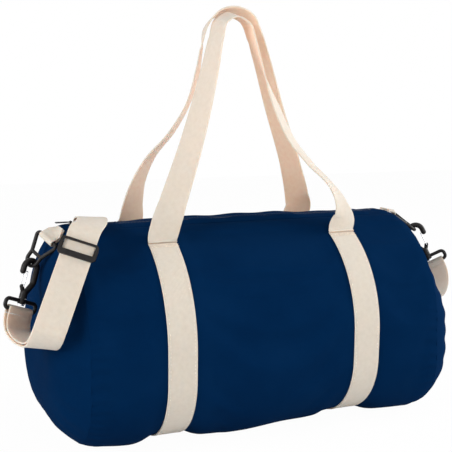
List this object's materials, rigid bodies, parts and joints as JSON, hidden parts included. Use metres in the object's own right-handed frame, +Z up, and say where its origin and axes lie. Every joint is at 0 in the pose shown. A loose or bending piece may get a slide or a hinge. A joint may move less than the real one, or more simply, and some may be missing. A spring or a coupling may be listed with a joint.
{
  "type": "barrel bag",
  "caption": "Canvas barrel bag with a zip along the top, webbing bands that carry on into tall handles, and a shoulder strap on swivel snap hooks with an adjuster.",
  "frame": {"origin": "middle of the flat base, on the ground", "axes": "+X along the barrel to the right end, +Y to the rear, +Z up"},
  "size_m": [0.6682, 0.3517, 0.5677],
  "materials": {
    "canvas": "matt dyed cotton canvas",
    "webbing": "undyed woven cotton webbing",
    "thread": "close rows of sewing thread",
    "binding": "woven binding tape",
    "zip_tape": "woven zip tape",
    "zip_coil": "nylon coil",
    "zip_metal": "black lacquer",
    "clip_plastic": "moulded black nylon, soft sheen",
    "wire": "bright steel wire"
  },
  "bodies": {
    "bag": {"barrel_panel": "canvas", "left_end_panel": "canvas", "right_end_panel": "canvas", "left_seam_binding": "binding", "right_seam_binding": "binding", "left_band": "webbing", "right_band": "webbing", "handle_stitching": "thread", "zip_end_tapes": "zip_tape", "zip_end_coils": "zip_coil", "zip_stops": "zip_coil", "left_tab": "webbing", "right_tab": "webbing", "strap_front_run": "webbing", "strap_tail": "webbing", "strap_left_drop_inner": "webbing", "strap_left_drop_outer": "webbing", "strap_top_run": "webbing", "strap_rear_run": "webbing", "strap_right_drop": "webbing"},
    "front_handle": {"front_handle": "webbing"},
    "rear_handle": {"rear_handle": "webbing"},
    "front_lip": {"front_lip": "canvas", "front_zip_tape": "zip_tape", "front_zip_coil": "zip_coil"},
    "rear_lip": {"rear_lip": "canvas", "rear_zip_tape": "zip_tape", "rear_zip_coil": "zip_coil"},
    "slider": {"zip_slider": "zip_metal"},
    "pull": {"zip_pull": "zip_metal"},
    "adjuster": {"adjuster": "clip_plastic", "strap_tail_end": "webbing"},
    "left_ring": {"left_ring": "clip_plastic"},
    "left_hook": {"left_hook": "clip_plastic", "left_swivel_rivet": "wire"},
    "left_loop": {"left_swivel_loop": "clip_plastic", "strap_left_fold": "webbing"},
    "left_gate": {"left_gate": "wire"},
    "right_ring": {"right_ring": "clip_plastic"},
    "right_hook": {"right_hook": "clip_plastic", "right_swivel_rivet": "wire"},
    "right_loop": {"right_swivel_loop": "clip_plastic", "strap_right_fold": "webbing"},
    "right_gate": {"right_gate": "wire"}
  },
  "joints": [
    {"name": "front_handle_fold", "type": "hinge", "parent": "bag", "child": "front_handle", "pos_m": [0, -0.07098, 0.26304], "axis": [1, 0, 0], "range_deg": [0, 100]},
    {"name": "rear_handle_fold", "type": "hinge", "parent": "bag", "child": "rear_handle", "pos_m": [0, 0.07098, 0.26304], "axis": [-1, 0, 0], "range_deg": [0, 100]},
    {"name": "front_lip_open", "type": "hinge", "parent": "bag", "child": "front_lip", "pos_m": [0, -0.03, 0.27625], "axis": [1, 0, 0], "range_deg": [0, 100]},
    {"name": "rear_lip_open", "type": "hinge", "parent": "bag", "child": "rear_lip", "pos_m": [0, 0.03, 0.27625], "axis": [-1, 0, 0], "range_deg": [0, 100]},
    {"name": "zip_slide", "type": "slide", "parent": "bag", "child": "slider", "axis": [1, 0, 0], "range_m": [0, 0.4392]},
    {"name": "zip_pull_flip", "type": "hinge", "parent": "slider", "child": "pull", "pos_m": [-0.2317, 0, 0.2838], "axis": [0, 1, 0], "range_deg": [0, 100]},
    {"name": "left_ring_swing", "type": "hinge", "parent": "bag", "child": "left_ring", "pos_m": [-0.2655, -0.016, 0.266], "axis": [-0.3995, 0.799, 0.4494], "range_deg": [0, 60], "deforming": ["strap_left_drop_inner", "strap_left_drop_outer"]},
    {"name": "left_hook_swing", "type": "hinge", "parent": "left_ring", "child": "left_hook", "pos_m": [-0.28677, -0.01257, 0.23195], "axis": [-0.4695, 0.8829, 0], "range_deg": [-2, 40], "deforming": ["strap_left_drop_inner", "strap_left_drop_outer"]},
    {"name": "left_swivel_turn", "type": "hinge", "parent": "left_hook", "child": "left_loop", "pos_m": [-0.30139, -0.02035, 0.18882], "axis": [0.3164, 0.1682, 0.9336], "range_deg": [-25, 25], "deforming": ["strap_left_drop_inner", "strap_left_drop_outer"]},
    {"name": "left_gate_press", "type": "hinge", "parent": "left_hook", "child": "left_gate", "pos_m": [-0.30071, -0.01999, 0.20813], "axis": [-0.4695, 0.8829, 0], "range_deg": [0, 18], "stiffness_Nm_per_rad": 0.004, "springref_deg": -17.19},
    {"name": "right_ring_swing", "type": "hinge", "parent": "bag", "child": "right_ring", "pos_m": [0.263, 0, 0.272], "axis": [-0.53, -0.848, 0], "range_deg": [0, 60], "deforming": ["strap_right_drop"]},
    {"name": "right_hook_swing", "type": "hinge", "parent": "right_ring", "child": "right_hook", "pos_m": [0.29113, -0.01758, 0.2479], "axis": [-0.5299, -0.848, 0], "range_deg": [-8, 40], "deforming": ["strap_right_drop"]},
    {"name": "right_swivel_turn", "type": "hinge", "parent": "right_hook", "child": "right_loop", "pos_m": [0.30891, -0.02869, 0.20673], "axis": [-0.385, 0.2406, 0.891], "range_deg": [-25, 25], "deforming": ["strap_right_drop"]},
    {"name": "right_gate_press", "type": "hinge", "parent": "right_hook", "child": "right_gate", "pos_m": [0.30655, -0.02722, 0.22585], "axis": [-0.5299, -0.848, 0], "range_deg": [0, 18], "stiffness_Nm_per_rad": 0.004, "springref_deg": -17.19},
    {"name": "adjuster_slide", "type": "slide", "parent": "bag", "child": "adjuster", "axis": [-0.4217, -0.305, -0.8539], "range_m": [0, 0.03], "deforming": ["strap_tail"]}
  ]
}
